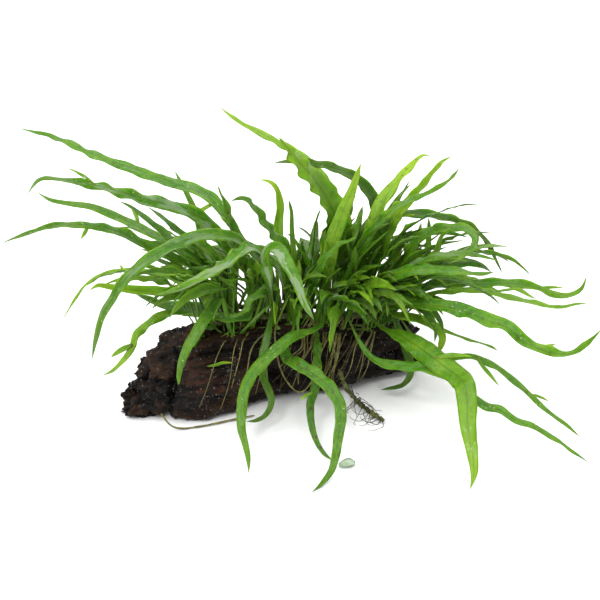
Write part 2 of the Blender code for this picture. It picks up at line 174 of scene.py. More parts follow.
def end_tree(tree, geometry, material):
    """Ends the tree in smooth shading, its material and real faces."""
    smooth = grow(tree, "GeometryNodeSetShadeSmooth", {0: geometry})
    finished = grow(tree, "GeometryNodeSetMaterial", {0: smooth.outputs[0], "Material": material})
    real = grow(tree, "GeometryNodeRealizeInstances", {0: finished.outputs[0]})
    leave = tree.nodes.new("NodeGroupOutput")
    tree.links.new(real.outputs[0], leave.inputs[0])


def made_by(tree, guide, name, sizes, before=()):
    """The plain mesh that the tree makes from the guide, as a new piece. The guide is removed."""
    for kind, values in before:
        modifier = guide.modifiers.new(kind.lower(), kind)
        for key, value in values.items():
            setattr(modifier, key, value)
    modifier = guide.modifiers.new(tree.name, "NODES")
    modifier.node_group = tree
    for socket in tree.interface.items_tree:
        if socket.in_out == "INPUT" and socket.name in sizes:
            modifier[socket.identifier] = sizes[socket.name]
    graph = bpy.context.evaluated_depsgraph_get()
    mesh = bpy.data.meshes.new_from_object(guide.evaluated_get(graph))
    mesh.name = name
    bpy.data.objects.remove(guide, do_unlink=True)
    shape = bmesh.new()
    shape.from_mesh(mesh)
    bmesh.ops.recalc_face_normals(shape, faces=shape.faces[:])
    shape.to_mesh(mesh)
    shape.free()
    return in_scene(name, mesh)


def merged_copy(node_name):
    """A solid's own shape as one joined mesh, to work on."""
    shape = bmesh.new()
    shape.from_mesh(frame["nodes"][node_name].data)
    bmesh.ops.remove_doubles(shape, verts=shape.verts[:], dist=0.001 * MM)
    mesh = bpy.data.meshes.new(node_name + "_guide")
    shape.to_mesh(mesh)
    shape.free()
    return in_scene(node_name + "_guide", mesh)


def store(tree, geometry, name, value, kind="FLOAT"):
    made = grow(tree, "GeometryNodeStoreNamedAttribute", {0: geometry, "Name": name},
        data_type=kind, domain="POINT")
    plug(tree, next(socket for socket in made.inputs if socket.name == "Value" and socket.enabled),
        value)
    return made.outputs[0]


def weathering_tree():
    tree, size = geometry_tree("weathered wood", {
        "Lump Depth": "Float", "Grain Depth": "Float", "Crack Depth": "Float",
        "Ledge Depth": "Float", "Crumble Depth": "Float", "Crumble Start": "Float",
        "Crumble End": "Float", "Cleft Depth": "Float", "Cleft Place": "Float",
        "Material": "Material",
    })
    place = Flow(tree, tree.nodes.new("GeometryNodeInputPosition").outputs[0])
    lumps = place.noise(1 / (30 * MM), 3.0) - 0.5
    long_grain = along_grain(place, 70 * MM, 7 * MM).noise(1.0, 5.0, 0.62) - 0.5
    fine_grain = along_grain(place, 22 * MM, 2.4 * MM).noise(1.0, 3.0, 0.6) - 0.5
    wander = along_grain(place, 60 * MM, 30 * MM)
    cracks = wander.vector("MULTIPLY", Vector((1, 3.2, 3.2))).cells(1.0, "DISTANCE_TO_EDGE")
    crack = Flow(tree, cracks.outputs["Distance"]).ramp(0.0, 0.11, 1.0, 0.0)
    broken = wander.noise(2.2, 1.0).ramp(0.42, 0.58)
    x = place.parts()[0]
    left = x.ramp(size["Crumble Start"], size["Crumble End"], 1.0, 0.0)
    chips = along_grain(place, 13 * MM, 7 * MM).cells(1.0)
    chip = Flow(tree, chips.outputs["Color"]).parts()[0] - 0.8
    crooked = joined(tree, place.noise(1 / (9 * MM), 2.0), place.noise(1 / (7 * MM), 2.0), 0.0)
    bent = place.vector("ADD", crooked.scaled(7 * MM))
    ledges = along_grain(bent, 34 * MM, 9 * MM).cells(1.0)
    ledge = Flow(tree, ledges.outputs["Color"]).parts()[0] - 0.75
    crumbs = along_grain(bent, 7 * MM, 3 * MM).cells(1.0)
    crumb = Flow(tree, crumbs.outputs["Color"]).parts()[1] - 0.6
    y, z = place.parts()[1:]
    off_cleft = x - size["Cleft Place"] - z * 0.25 + (place.noise(1 / (11 * MM)) - 0.5) * (14 * MM)
    in_front = y.ramp(-35 * MM, -20 * MM, 1.0, 0.0)
    cleft = off_cleft.maths("ABSOLUTE").ramp(0.5 * MM, 5 * MM, 1.0, 0.0) * in_front
    out = lumps * size["Lump Depth"] + long_grain * size["Grain Depth"]
    out = out + fine_grain * size["Grain Depth"] * 0.35 + ledge * size["Ledge Depth"]
    out = out + crumb * size["Ledge Depth"] * 0.3 - cleft * size["Cleft Depth"]
    sunk = crack * broken * size["Crack Depth"]
    out = out - sunk + chip * left * size["Crumble Depth"]
    normal = Flow(tree, tree.nodes.new("GeometryNodeInputNormal").outputs[0])
    moved = place.vector("ADD", normal.scaled(out))
    x, y, z = moved.parts()
    shifted = grow(tree, "GeometryNodeSetPosition",
        {0: size["Geometry"], "Position": joined(tree, x, y, z.maths("MAXIMUM", 0.0))})
    hollow = out / size["Grain Depth"]
    end_tree(tree, store(tree, shifted.outputs[0], "hollow", hollow), size["Material"])
    return tree


def place_on_piece(tree):
    """Where a point of the surface is, in the frame."""
    return Flow(tree, tree.nodes.new("ShaderNodeTexCoord").outputs["Object"])


def attribute(tree, name, output="Vector"):
    made = grow(tree, "ShaderNodeAttribute", attribute_name=name)
    return Flow(tree, made.outputs[output])


def shader_group(name, inputs, outputs):
    """A shared effect: its tree, its inputs by name and the node that its outputs join."""
    tree = bpy.data.node_groups.new(name, "ShaderNodeTree")
    for socket, (kind, value) in inputs.items():
        made = tree.interface.new_socket(socket, in_out="INPUT", socket_type="NodeSocket" + kind)
        if value is not None:
            made.default_value = value
    for socket in outputs:
        tree.interface.new_socket(socket, in_out="OUTPUT", socket_type="NodeSocketFloat")
    entry = tree.nodes.new("NodeGroupInput")
    leave = tree.nodes.new("NodeGroupOutput")
    given = {socket.name: Flow(tree, socket) for socket in entry.outputs if socket.name}
    return tree, given, leave


def use_group(tree, group, **inputs):
    made = grow(tree, "ShaderNodeGroup", node_tree=group)
    for key, value in inputs.items():
        plug(tree, made.inputs[key.replace("_", " ")], value)
    return {socket.name: Flow(tree, socket) for socket in made.outputs}


def new_material(name, **values):
    """A Principled material; values are plain numbers for its sockets, by name."""
    material = bpy.data.materials.new(name)
    material.use_nodes = True
    shader = material.node_tree.nodes["Principled BSDF"]
    for key, value in values.items():
        shader.inputs[key.replace("_", " ")].default_value = value
    return material, material.node_tree, shader


def bumped(tree, shader, height, strength, distance):
    inputs = {"Strength": strength, "Distance": distance, "Height": height}
    made = grow(tree, "ShaderNodeBump", inputs)
    tree.links.new(made.outputs[0], shader.inputs["Normal"])


# Small round specks, which wood and leaves share: brown marks, drops, and painted glints
round_specks, specks_in, specks_out = shader_group("round specks",
    {"Vector": ("Vector", None), "Spacing": ("Float", 0.004), "Share": ("Float", 0.3),
     "Size": ("Float", 0.2)}, ("Mask",))
speck_place = specks_in["Vector"].scaled(specks_in["Spacing"].maths("POWER", -1.0))
speck_cells = speck_place.cells(1.0)
speck_kept = Flow(round_specks, speck_cells.outputs["Color"]).parts()[0].maths(
    "LESS_THAN", specks_in["Share"])
speck_round = Flow(round_specks, speck_cells.outputs["Distance"]).maths(
    "LESS_THAN", specks_in["Size"])
plug(round_specks, specks_out.inputs["Mask"], speck_kept * speck_round)

wood, tree, shader = new_material("wet driftwood", Coat_Weight=0.10, Coat_Roughness=0.12,
    Specular_IOR_Level=0.12)
place = place_on_piece(tree)
long_streaks = along_grain(place, 60 * MM, 3.2 * MM).noise(1.0, 5.0, 0.65)
fine_streaks = along_grain(place, 14 * MM, 0.9 * MM).noise(1.0, 3.0, 0.6)
patches = place.noise(1 / (26 * MM), 2.0)
hollow = attribute(tree, "hollow", "Fac")
colour = blend(long_streaks.ramp(0.36, 0.66), (0.008, 0.0035, 0.0012, 1), (0.036, 0.015, 0.005, 1))
colour = blend(fine_streaks.ramp(0.5, 0.72) * 0.45, colour, (0.066, 0.032, 0.012, 1))
colour = blend(patches.ramp(0.56, 0.70) * long_streaks.ramp(0.4, 0.6) * 0.7,
    colour, (0.060, 0.016, 0.007, 1))
# Painted shade: the sunken parts of the skin, its cracks, cleft and hollows, are darkened nearly to
# black
colour = blend(hollow.ramp(-0.6, 0.05, 0.95, 0.0), colour, (0.002, 0.0015, 0.001, 1))
glints = use_group(tree, round_specks, Vector=place, Spacing=1.4 * MM, Share=0.20, Size=0.26)["Mask"]
painted_glint_places = place.noise(1 / (13 * MM), 2.0).ramp(0.42, 0.56)
x, y, z = place.parts()
# Painted shade: the log's right part, low down under the leaves, is darkened nearly to black
painted_shade_under_leaves = x.ramp(-5 * MM, 20 * MM) * z.ramp(34 * MM, 62 * MM, 1.0, 0.0) * 0.85
colour = blend(painted_shade_under_leaves, colour, (0.004, 0.002, 0.001, 1))
spot_x, _, spot_z = place.vector("SUBTRACT", PALE_SPOT).parts()
off_spot = (spot_x * spot_x + spot_z * spot_z).maths("SQRT")
spot = off_spot.ramp(1.2 * MM, 1.7 * MM, 1.0, 0.0) * y.ramp(-4 * MM, 0.0, 1.0, 0.0)
colour = blend(spot * 0.7, colour, (0.11, 0.12, 0.09, 1))
# Painted highlights: tiny near-white glints are put into the colour, in patches of the wood
colour = blend(glints * painted_glint_places * 0.75, colour, (0.42, 0.41, 0.40, 1))
plug(tree, shader.inputs["Base Color"], colour)
rough = long_streaks.ramp(0.3, 0.7, 0.34, 0.62)
plug(tree, shader.inputs["Roughness"], rough - glints * 0.25)
relief = fine_streaks * 0.7 + place.noise(1 / (0.9 * MM), 3.0, 0.75) + glints * 0.4
bumped(tree, shader, relief, 1.0, 1.3 * MM)

log_low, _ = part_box("driftwood_log")
driftwood = made_by(weathering_tree(), merged_copy("driftwood_log"), "driftwood", {
    "Lump Depth": 5 * MM,
    "Grain Depth": 6.5 * MM,
    "Crack Depth": 3.5 * MM,
    "Ledge Depth": 4.5 * MM,
    "Cleft Depth": 6 * MM,
    "Cleft Place": log_low.x + 32 * MM,
    "Crumble Depth": 5 * MM,
    "Crumble Start": log_low.x + 12 * MM,
    "Crumble End": log_low.x + 62 * MM,
    "Material": wood,
}, before=[("REMESH", {"mode": "VOXEL", "voxel_size": SKIN_STEP})])
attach(driftwood, "root")
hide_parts("driftwood_log")

# ---- Fronds --------------------------------------------------------------------------------------
# Each frond is one long narrow leaf: a thin wiry stalk that widens into a soft wavy blade with a
# midrib and a net of veins. It grew whole from the rhizome, so blade and stalk are one skin. Each
# takes its line, width and turn from its own solid, and the blade tree ruffles it.

BLADE_STEP = 1.5 * MM
BLADE_COLUMNS = 9
BLADE_THICKNESS = 0.45 * MM
STALK_THICKNESS = 1.2 * MM
TABLE_CLEARANCE = 0.15 * MM


def rings_from(start):
    """The rings of corners round a solid, by how many edges they are from the start."""
    seen = {start}
    rings = [[start]]
    while rings[-1]:
        after = []
        for corner in rings[-1]:
            for edge in corner.link_edges:
                other = edge.other_vert(corner)
                if other not in seen:
                    seen.add(other)
                    after.append(other)
        rings.append(after)
    return rings[1:-1]


def matched(ring, labels):
    """The ring's corners in the order of the labelled corners that they best line up with."""
    middle = sum(ring, Vector()) / 4
    wanted_middle = sum(labels, Vector()) / 4
    offsets = [(corner - middle).normalized() for corner in ring]
    wanted = [(corner - wanted_middle).normalized() for corner in labels]
    order = max(permutations(range(4)),
        key=lambda given: sum(offsets[i].dot(want) for i, want in zip(given, wanted)))
    return [ring[i] for i in order]


def frond_sections(node_name):
    """The frond's line from root to tip, as (middle, side, up, half its width)."""
    shape = bmesh.new()
    shape.from_mesh(frame["nodes"][node_name].data)
    bmesh.ops.remove_doubles(shape, verts=shape.verts[:], dist=0.001 * MM)
    for start in shape.verts:
        rings = rings_from(start)
        if all(len(ring) == 4 for ring in rings):
            break
    tip = start.co.copy()
    rings = [[corner.co.copy() for corner in ring] for ring in reversed(rings)]
    shape.free()
    spans = [max((a - b).length for a in ring for b in ring) for ring in rings]
    widest = spans.index(max(spans))
    ring = rings[widest]
    edge = max(((a, b) for a in ring for b in ring), key=lambda pair: (pair[0] - pair[1]).length)
    rings[widest] = [*edge, *[corner for corner in ring if corner not in edge]]
    for i in range(widest + 1, len(rings)):
        rings[i] = matched(rings[i], rings[i - 1])
    for i in range(widest - 1, -1, -1):
        rings[i] = matched(rings[i], rings[i + 1])
    middles = [(ring[0] + ring[1]) / 2 for ring in rings]
    depth = [sum((ring[k] - middle).length for ring, middle in zip(rings, middles)) for k in (2, 3)]
    upper, lower = (2, 3) if depth[0] < depth[1] else (3, 2)
    sections = []
    for ring, middle in zip(rings, middles):
        side = (ring[1] - ring[0]).normalized()
        up = ring[upper] - ring[lower]
        up = (up - side * up.dot(side)).normalized()
        sections.append((middle, side, up, (ring[1] - ring[0]).length / 2))
    sections.append((tip, sections[-1][1], sections[-1][2], 0))
    return sections


def between(before, start, stop, after, t):
    """The smooth curve from start to stop."""
    return 0.5 * (
        2 * start
        + (stop - before) * t
        + (2 * before - 5 * start + 4 * stop - after) * t * t
        + (3 * start - before - 3 * stop + after) * t**3
    )


def four_round(points, at):
    """The four points round a place on a line, and how far it is from the second to the third."""
    last = len(points) - 1
    k = min(int(at), last - 1)
    return [points[min(max(j, 0), last)] for j in (k - 1, k, k + 1, k + 2)], at - k


def fine_rail(sections, step, phase, look):
    """Close sections along a smooth line, with what the blade tree reads at each."""
    length = sum((b[0] - a[0]).length for a, b in zip(sections, sections[1:]))
    count = max(round(length / step), 12)
    rail = []
    for i in range(count + 1):
        four, t = four_round(sections, (len(sections) - 1) * i / count)
        middle, side, up, half = (between(*values, t) for values in zip(*four))
        share = i / count
        thick = BLADE_THICKNESS
        thick += (STALK_THICKNESS - BLADE_THICKNESS) * max(1 - half / (3.2 * MM), 0)
        closing = min(1, share / 0.004, (1 - share) / 0.06)
        rail.append({
            "centre": middle, "side": side.normalized(), "up": up.normalized(),
            "half": max(half, 0), "thick": thick * max(closing, 0), "along": length * share,
            "share": share, "phase": phase, "tone": look[:3], "sheen": look[3],
        })
    return rail


def rail_guide(name, rails):
    """One guide of plain edges, a line for each rail, with the rail's values at each point."""
    places, edges = [], []
    for rail in rails:
        first = len(places)
        places += [point["centre"] for point in rail]
        edges += [(first + i, first + i + 1) for i in range(len(rail) - 1)]
    mesh = bpy.data.meshes.new(name)
    mesh.from_pydata(places, edges, [])
    points = [point for rail in rails for point in rail]
    for key, value in points[0].items():
        whole = isinstance(value, (Vector, tuple))
        kept = mesh.attributes.new(key, "FLOAT_VECTOR" if whole else "FLOAT", "POINT")
        if whole:
            kept.data.foreach_set("vector", [n for point in points for n in point[key]])
        else:
            kept.data.foreach_set("value", [point[key] for point in points])
    return in_scene(name, mesh)


def read(tree, name, kind="FLOAT"):
    made = grow(tree, "GeometryNodeInputNamedAttribute", {"Name": name}, data_type=kind)
    return Flow(tree, next(socket for socket in made.outputs if socket.enabled))


def blade_tree():
    tree, size = geometry_tree("fern blade", {
        "Columns": "Int", "Ruffle Height": "Float", "Ruffle Length": "Float",
        "Edge Wave": "Float", "Cup": "Float", "Wander": "Float", "Rib Height": "Float",
        "Table Clearance": "Float", "Material": "Material",
    })
    rail = grow(tree, "GeometryNodeMeshToCurve", {0: size["Geometry"]})
    width = grow(tree, "GeometryNodeCurvePrimitiveLine",
        {"Start": Vector((-1, 0, 0)), "End": Vector((1, 0, 0))})
    columns = grow(tree, "GeometryNodeResampleCurve", {0: width.outputs[0]})
    plug(tree, columns.inputs["Count"], size["Columns"])
    even = Flow(tree, tree.nodes.new("GeometryNodeInputPosition").outputs[0]).parts()[0]
    side_of = even.maths("SIGN")
    packed_in = side_of * even.maths("ABSOLUTE").maths("POWER", 1.25)
    profile = store(tree, columns.outputs[0], "across", packed_in)
    strip = grow(tree, "GeometryNodeCurveToMesh", {0: rail.outputs[0], "Profile Curve": profile})

    across, half, along = read(tree, "across"), read(tree, "half"), read(tree, "along")
    share, phase, thick = read(tree, "share"), read(tree, "phase"), read(tree, "thick")
    centre, side, up = (read(tree, name, "FLOAT_VECTOR") for name in ("centre", "side", "up"))
    reach = across.maths("ABSOLUTE")
    margin = across.maths("SIGN")
    blade = (half / (3.0 * MM)).maths("MINIMUM", 1.0)
    turns = along / size["Ruffle Length"]
    drift = joined(tree, turns * 0.45, margin * 1.7, phase).noise(1.0, 1.0) - 0.5
    swell = joined(tree, turns * 0.3, margin * 2.3, phase + 5.0).noise(1.0, 1.0).ramp(0.35, 0.62)
    wave = (turns * (2 * math.pi) + drift * 9.0 + margin * 1.1 + phase * 3.0).maths("SINE")
    fine = joined(tree, turns * 2.6, margin * 3.1, phase + 9.0).noise(1.0, 2.0) - 0.5
    ruffle = (wave * (swell * 0.9 + 0.1) + fine * 1.3) * reach.maths("POWER", 1.7)
    ruffle = ruffle * size["Ruffle Height"] * blade
    bend = joined(tree, along / (34 * MM), phase, 0.0).noise(1.0, 1.0) - 0.5
    sway = joined(tree, along / (40 * MM), phase, 4.0).noise(1.0, 1.0) - 0.5
    settled = share.ramp(0.0, 0.3) * share.ramp(0.92, 1.0, 1.0, 0.4)
    edge_out = joined(tree, turns * 1.3, margin * 5.0, phase + 2.0).noise(1.0, 2.0) - 0.5
    wide = half * (edge_out * size["Edge Wave"] * blade + 1.0)
    fold = joined(tree, along / (50 * MM), phase, 8.0).noise(1.0, 0.0)
    cup = reach * reach * half * size["Cup"] * (fold.ramp(0.3, 0.7, -0.5, 1.4))
    rib = reach.ramp(0.0, 0.22, 1.0, 0.0) * size["Rib Height"]
    height = ruffle + cup + bend * size["Wander"] * settled - rib * 0.4
    middle = centre.vector("ADD", side.scaled(across * wide + sway * size["Wander"] * settled))
    middle = middle.vector("ADD", up.scaled(height))
    lens = (reach * reach * -1.0 + 1.0).maths("MAXIMUM", 0.0).maths("SQRT") * thick * 0.5
    faces = []
    for direction, extra in ((1.0, lens), (-1.0, lens + rib * blade)):
        x, y, z = middle.vector("ADD", up.scaled(extra * direction)).parts()
        on_table = joined(tree, x, y, z.maths("MAXIMUM", size["Table Clearance"]))
        skin = grow(tree, "GeometryNodeSetPosition", {0: strip.outputs[0], "Position": on_table})
        faces.append(store(tree, skin.outputs[0], "under", 0.5 - direction * 0.5))
    both = tree.nodes.new("GeometryNodeJoinGeometry")
    for skin in reversed(faces):
        tree.links.new(skin, both.inputs[0])
    welded = grow(tree, "GeometryNodeMergeByDistance", {0: both.outputs[0], "Distance": 0.01 * MM})
    mapped = joined(tree, across, along * 100.0, share)
    end_tree(tree, store(tree, welded.outputs[0], "leaf", mapped, "FLOAT_VECTOR"),
        size["Material"])
    return tree


# The midrib, the side veins and the net between them
blade_veins, veins_in, veins_out = shader_group("blade veins",
    {"Leaf": ("Vector", None), "Rib Width": ("Float", 0.1), "Vein Spacing": ("Float", 0.55)},
    ("Rib", "Veins", "Relief"))
vein_across, vein_along, _ = veins_in["Leaf"].parts()
vein_reach = vein_across.maths("ABSOLUTE")
rib_mask = (vein_reach / veins_in["Rib Width"]).ramp(0.3, 1.0, 1.0, 0.0)
side_wave = (vein_along / veins_in["Vein Spacing"] - vein_reach * 0.9) * (2 * math.pi)
side_veins = side_wave.maths("SINE").ramp(0.86, 1.0) * vein_reach.ramp(0.7, 1.0, 1.0, 0.0)
net_place = joined(blade_veins, vein_across * 1.6, vein_along * 3.4, 0.0)
net_cells = net_place.cells(1.6, "DISTANCE_TO_EDGE")
net_lines = Flow(blade_veins, net_cells.outputs["Distance"]).ramp(0.0, 0.09, 1.0, 0.0)
plug(blade_veins, veins_out.inputs["Rib"], rib_mask)
plug(blade_veins, veins_out.inputs["Veins"], side_veins.maths("MAXIMUM", net_lines * 0.6))
plug(blade_veins, veins_out.inputs["Relief"], rib_mask * 0.8 + side_veins * 0.5 + net_lines * 0.4)


def leaf_material(name, base, deep, fresh, pale):
    """A wet leaf. On the mesh, tone says how yellow, dark and spotted it is, and sheen its painted
    sheen.
    """
    material, tree, shader = new_material(name, Coat_Weight=0.06, Coat_Roughness=0.12,
        Specular_IOR_Level=0.17, Subsurface_Weight=0.35, Subsurface_Scale=1.2 * MM,
        Subsurface_Radius=(0.5, 1.0, 0.12))
    place = place_on_piece(tree)
    leaf = attribute(tree, "leaf")
    across, along, share = leaf.parts()
    yellow, dark, spots = attribute(tree, "tone").parts()
    under = attribute(tree, "under", "Fac")
    veins = use_group(tree, blade_veins, Leaf=leaf, Rib_Width=0.12, Vein_Spacing=0.62)
    clouds = place.noise(1 / (16 * MM), 3.0, 0.6)
    mottle = place.noise(1 / (3.5 * MM), 3.0, 0.6)
    colour = blend(clouds.ramp(0.40, 0.66) * 0.85, base, pale)
    streaks = joined(tree, across * 3.0, along * 0.25, 1.0).noise(1.0, 3.0, 0.6)
    colour = blend(streaks.ramp(0.48, 0.68) * 0.4, colour, fresh)
    colour = blend(mottle.ramp(0.45, 0.7) * 0.5, colour, deep)
    ripe = (share.ramp(0.4, 1.0) * 0.9 + 0.1) * yellow + clouds.ramp(0.5, 0.75) * yellow * 0.35
    colour = blend(ripe.maths("MINIMUM", 1.0), colour, fresh)
    # Painted shade: the underside of each blade is darkened towards the deep green, besides its own
    # dark tone
    colour = blend(dark.maths("MAXIMUM", under * 0.3), colour, deep)
    colour = blend(veins["Veins"] * 0.28, colour, fresh)
    colour = blend(veins["Rib"] * 0.3, colour, deep)
    thin_margin = across.maths("ABSOLUTE").ramp(0.8, 1.0) * 0.35
    colour = blend(thin_margin, colour, fresh)
    stalk = share.ramp(0.05, 0.22, 1.0, 0.0)
    colour = blend(stalk * 0.75, colour, (0.085, 0.085, 0.020, 1))
    marks = use_group(tree, round_specks, Vector=place, Spacing=3.4 * MM, Share=0.35, Size=0.34)
    blotch = mottle.ramp(0.6, 0.68) * spots
    brown = (marks["Mask"] * spots).maths("MAXIMUM", blotch)
    colour = blend(brown, colour, (0.050, 0.022, 0.008, 1))
    # Drops make the leaf smoother and raised; their pale specks in the colour are painted highlights
    drops = use_group(tree, round_specks, Vector=place, Spacing=2.6 * MM, Share=0.22, Size=0.24)
    drop = drops["Mask"]
    painted_drop_glint_places = place.noise(1 / (20 * MM)).ramp(0.45, 0.6)
    colour = blend(drop * painted_drop_glint_places * 0.55, colour, (0.36, 0.46, 0.25, 1))
    # Painted sheen: pale silvery patches of reflected light, as strong as the frond's sheen
    painted_sheen_patches = joined(tree, across * 0.9, along * 0.42, 3.0).noise(1.0, 3.0, 0.6).ramp(0.50, 0.58)
    painted_sheen_patches = painted_sheen_patches * attribute(tree, "sheen", "Fac")
    colour = blend(painted_sheen_patches, colour, (0.200, 0.270, 0.150, 1))
    plug(tree, shader.inputs["Base Color"], colour)
    plug(tree, shader.inputs["Roughness"],
        clouds.ramp(0.3, 0.7, 0.30, 0.50) - drop * 0.16 - painted_sheen_patches * 0.1)
    relief = mottle * 0.5 - veins["Relief"] * 0.5 + drop * 0.8
    bumped(tree, shader, relief, 0.55, 0.35 * MM)
    return material


leaf_finishes = {
    "leaf": leaf_material("green leaf", (0.035, 0.146, 0.004, 1), (0.011, 0.058, 0.0015, 1),
        (0.180, 0.320, 0.010, 1), (0.086, 0.206, 0.016, 1)),
    "young_leaf": leaf_material("young leaf", (0.078, 0.210, 0.006, 1), (0.032, 0.110, 0.003, 1),
        (0.240, 0.385, 0.014, 1), (0.145, 0.275, 0.022, 1)),
    "old_leaf": leaf_material("old leaf", (0.028, 0.098, 0.003, 1), (0.008, 0.034, 0.001, 1),
        (0.110, 0.205, 0.007, 1), (0.056, 0.130, 0.011, 1)),
}

# How a frond differs from the rest: how yellow, dark and spotted, its painted silvery sheen, then its
# ruffles in mm
FROND_LOOKS = {
    "frond_left_broad": (0.15, 0.15, 0.05, 0.55, 1.6),
    "frond_left_arch": (0.15, 0.25, 0.05, 0.35, 1.5),
    "frond_middle_sheen": (0.15, 0.0, 0.05, 0.95, 1.3),
    "frond_right_high": (0.30, 0.0, 0.05, 0.25, 1.6),
    "frond_top_broad": (0.70, 0.0, 0.05, 0.0, 2.4),
    "frond_top_long": (0.60, 0.0, 0.0, 0.0, 1.2),
    "frond_top_bright": (0.55, 0.0, 0.0, 0.0, 1.0),
    "frond_young_upright": (0.70, 0.0, 0.1, 0.0, 1.2),
    "frond_right_drooping": (0.85, 0.1, 0.10, 0.0, 1.5),
    "frond_right_speckled": (0.80, 0.0, 0.40, 0.0, 1.8),
    "frond_right_yellow": (0.60, 0.0, 0.15, 0.0, 1.3),
    "frond_right_loop": (0.60, 0.0, 0.1, 0.0, 1.2),
    "frond_left_spotted": (0.15, 0.1, 0.85, 0.0, 1.4),
    "frond_front_spotted": (0.10, 0.5, 0.80, 0.0, 1.8),
    "frond_front_left": (0.40, 0.2, 0.05, 0.0, 1.4),
    "frond_front_right": (0.25, 0.3, 0.45, 0.0, 1.3),
    "frond_left_high": (0.15, 0.0, 0.05, 0.2, 1.5),
    "frond_left_pale": (0.35, 0.0, 0.1, 0.75, 1.8),
    "frond_left_level": (0.60, 0.0, 0.15, 0.0, 1.5),
    "frond_left_twisted": (0.50, 0.0, 0.15, 0.0, 2.0),
    "frond_left_thin": (0.50, 0.0, 0.1, 0.0, 1.2),
    "frond_middle_dark": (0.05, 0.7, 0.1, 0.0, 1.2),
    "frond_slim_upright": (0.05, 0.5, 0.1, 0.0, 0.8),
    "frond_right_long": (0.45, 0.0, 0.1, 0.0, 1.8),
    "frond_right_wavy": (0.25, 0.0, 0.15, 0.0, 2.2),
    "frond_right_low_thin": (0.20, 0.0, 0.1, 0.0, 1.6),
    "frond_right_to_table": (0.15, 0.0, 0.1, 0.0, 1.2),
}
PLAIN_LOOK = (0.20, 0.12, 0.08, 0.12, 1.5)

blade = blade_tree()
slots = {part["node"]: part["material_slot"] for part in frame["record"]["subparts"]}
chance = random.Random(7)
for node in sorted(name for name in slots if name.startswith("frond_")):
    yellow, dark, spots, sheen, ruffle = FROND_LOOKS.get(node, PLAIN_LOOK)
    look = (yellow * chance.uniform(0.8, 1.2), dark * chance.uniform(0.8, 1.2), spots, sheen)
    rail = fine_rail(frond_sections(node), BLADE_STEP, chance.uniform(0, 40), look)
    slot = slots[node]
    leaf = made_by(blade, rail_guide(node + "_rail", [rail]), node.replace("frond", "leaf"), {
        "Columns": BLADE_COLUMNS,
        "Ruffle Height": ruffle * MM,
        "Ruffle Length": chance.uniform(13, 24) * MM,
        "Edge Wave": 0.30,
        "Cup": chance.uniform(0.15, 0.45),
        "Wander": 2.5 * MM,
        "Rib Height": 0.22 * MM,
        "Table Clearance": TABLE_CLEARANCE,
        "Material": leaf_finishes[slot],
    })
    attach(leaf, "root")
    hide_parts(node)

# ---- Rhizomes, the loose root and the fallen stalk -----------------------------------------------
# Two creeping stems lie along the top of the log, and a short tip reaches out at the front. They
# are firm, olive-brown and scaly. The loose root and the fallen stalk are thin and wiry. Each
# keeps its solid's line, and gets the knobs and scales that it has.


def stem_tree():
    tree, size = geometry_tree("scaly stem", {
        "Smoothing": "Int", "Knob Height": "Float", "Knob Spacing": "Float", "Material": "Material",
    })
    fine = grow(tree, "GeometryNodeSubdivisionSurface", {0: size["Geometry"]})
    plug(tree, fine.inputs["Level"], size["Smoothing"])
    place = Flow(tree, tree.nodes.new("GeometryNodeInputPosition").outputs[0])
    spread = place.vector("MULTIPLY", Vector((1, 2, 2)))
    knobs = spread.scaled(size["Knob Spacing"].maths("POWER", -1.0)).cells(1.0)
    bump = Flow(tree, knobs.outputs["Distance"]).ramp(0.0, 0.7, 0.6, -0.4)
    bump = bump + place.noise(1 / (1.5 * MM), 2.0) * 0.5 - 0.25
    normal = Flow(tree, tree.nodes.new("GeometryNodeInputNormal").outputs[0])
    x, y, z = place.vector("ADD", normal.scaled(bump * size["Knob Height"])).parts()
    skin = grow(tree, "GeometryNodeSetPosition",
        {0: fine.outputs[0], "Position": joined(tree, x, y, z.maths("MAXIMUM", 0.1 * MM))})
    end_tree(tree, skin.outputs[0], size["Material"])
    return tree


def stem_material(name, light, dark, spacing):
    """Smooth and rough bands of one colour, with dark scales."""
    material, tree, shader = new_material(name, Coat_Weight=0.08, Coat_Roughness=0.25,
        Specular_IOR_Level=0.2)
    place = place_on_piece(tree)
    scales = place.scaled(1 / spacing).cells(1.0)
    edge = Flow(tree, scales.outputs["Distance"]).ramp(0.35, 0.75)
    grime = place.noise(1 / (4 * MM), 3.0, 0.6).ramp(0.4, 0.65)
    colour = blend(edge * 0.6, light, dark)
    colour = blend(grime * 0.7, colour, dark)
    plug(tree, shader.inputs["Base Color"], colour)
    plug(tree, shader.inputs["Roughness"], grime.ramp(0.0, 1.0, 0.35, 0.6))
    bumped(tree, shader, place.noise(1 / (0.9 * MM), 2.0) - edge * 0.6, 0.5, 0.3 * MM)
    return material


